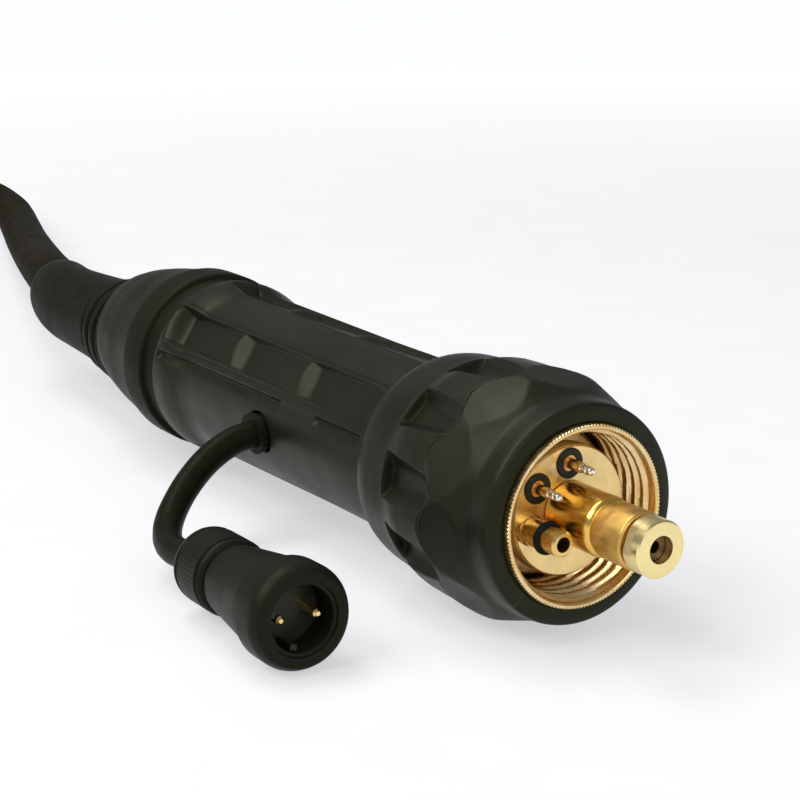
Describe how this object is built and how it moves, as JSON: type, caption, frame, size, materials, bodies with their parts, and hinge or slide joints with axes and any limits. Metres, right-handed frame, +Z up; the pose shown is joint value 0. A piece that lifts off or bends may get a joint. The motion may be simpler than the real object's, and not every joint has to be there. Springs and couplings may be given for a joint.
{
  "type": "mig welding torch",
  "caption": "Air-cooled MIG welding torch: central machine connector with hand nut, coiled cable, control lead with plug, and swan-neck trigger handle with gas nozzle.",
  "frame": {"origin": "on the connector's axis, at the front face of the coupling nut's brass ring", "axes": "+X along the connector's axis towards the pin's tip, +Z up from the surface the torch lies on, +Y to the side away from the handle"},
  "size_m": [0.7744, 0.3133, 0.0586],
  "materials": {
    "turned_brass": "turned, matt",
    "pin_brass": "polished base, frosted nose",
    "pale_brass": "bright turned",
    "golden_brass": "satin",
    "liner_steel": "dull wound wire",
    "contact_gold": "gold plated, bright tip",
    "contact_copper": "dull copper",
    "insulator_black": "satin",
    "seal_rubber": "slightly glossy",
    "nut_plastic": "moulded, satin",
    "housing_plastic": "moulded, fine grain",
    "boot_rubber": "matt",
    "cable_rubber": "smooth, slightly glossy",
    "lead_rubber": "smooth",
    "copper": "drawn copper",
    "ferrule_metal": "crimped",
    "screw_steel": "blackened",
    "plug_gold": "gold plated",
    "tie_fabric": "woven hook-and-loop",
    "handle_plastic": "moulded, fine grain",
    "trigger_plastic": "satin",
    "button_red": "gloss",
    "sleeve_black": "satin",
    "insulator_pale": "glass-filled",
    "nozzle_plate": "nickel-plated, satin"
  },
  "bodies": {
    "torch": {"plug_body": "turned_brass", "power_pin": "pin_brass", "wire_liner": "liner_steel", "gas_nipple": "golden_brass", "gas_seal": "seal_rubber", "pin_insulators": "insulator_black", "contact_barrels": "contact_copper", "housing": "housing_plastic", "housing_screws": "screw_steel", "rear_ring": "housing_plastic", "cable_boot": "boot_rubber", "cable_ferrule": "ferrule_metal", "cable_end": "cable_rubber", "cable_core": "copper", "lead_grommet": "boot_rubber", "control_lead": "lead_rubber", "plug_cap": "boot_rubber", "plug_shell": "nut_plastic", "plug_insert": "insulator_black", "plug_pins": "plug_gold", "main_cable": "cable_rubber", "cable_coil": "cable_rubber", "cable_tail": "cable_rubber", "coil_ties": "tie_fabric", "handle_upper": "handle_plastic", "handle_lower": "handle_plastic", "handle_screws": "screw_steel", "trigger_pivot": "screw_steel", "switch_body": "insulator_black", "rear_knuckle": "handle_plastic", "handle_boot": "boot_rubber", "handle_cable_end": "cable_rubber", "neck_block": "golden_brass", "neck_tube": "copper", "neck_sleeve": "sleeve_black", "neck_nut": "handle_plastic", "nozzle_insulator": "insulator_pale", "gas_diffuser": "golden_brass", "contact_tip": "copper"},
    "nut": {"coupling_nut": "nut_plastic", "thread_insert": "turned_brass"},
    "liner_nut": {"liner_nut": "pale_brass"},
    "contact_1": {"contact_plunger_1": "contact_gold"},
    "contact_2": {"contact_plunger_2": "contact_gold"},
    "plug_ring": {"plug_ring": "nut_plastic"},
    "trigger": {"trigger": "trigger_plastic"},
    "switch_button": {"switch_button": "button_red"},
    "nozzle": {"gas_nozzle": "nozzle_plate"}
  },
  "joints": [
    {"name": "nut_turn", "type": "hinge", "parent": "torch", "child": "nut", "pos_m": [0, 0, 0], "axis": [1, 0, 0], "continuous": true},
    {"name": "liner_nut_turn", "type": "hinge", "parent": "torch", "child": "liner_nut", "pos_m": [0.0218, 0, 0], "axis": [1, 0, 0], "continuous": true},
    {"name": "contact_1_press", "type": "slide", "parent": "torch", "child": "contact_1", "axis": [-1, 0, 0], "range_m": [0, 0.0025], "stiffness_N_per_m": 300, "springref_m": -0.001},
    {"name": "contact_2_press", "type": "slide", "parent": "torch", "child": "contact_2", "axis": [-1, 0, 0], "range_m": [0, 0.0025], "stiffness_N_per_m": 300, "springref_m": -0.001},
    {"name": "plug_ring_turn", "type": "hinge", "parent": "torch", "child": "plug_ring", "pos_m": [-0.0175, -0.061, -0.01675], "axis": [0.9986, -0.0401, 0.0349], "continuous": true},
    {"name": "trigger_pull", "type": "hinge", "parent": "torch", "child": "trigger", "pos_m": [-0.397, -0.138, -0.0113], "axis": [0, 0, 1], "range_deg": [0, 4], "stiffness_Nm_per_rad": 1.5, "springref_deg": -2.01},
    {"name": "switch_press", "type": "slide", "parent": "torch", "child": "switch_button", "axis": [0, 1, 0], "range_m": [0, 0.002]},
    {"name": "nozzle_pull", "type": "slide", "parent": "torch", "child": "nozzle", "axis": [0.7071, -0.7071, 0], "range_m": [0, 0.03]}
  ],
  "couplings": [
    {"joint": "switch_press", "follows": "trigger_pull", "m_per_rad": 0.028}
  ]
}
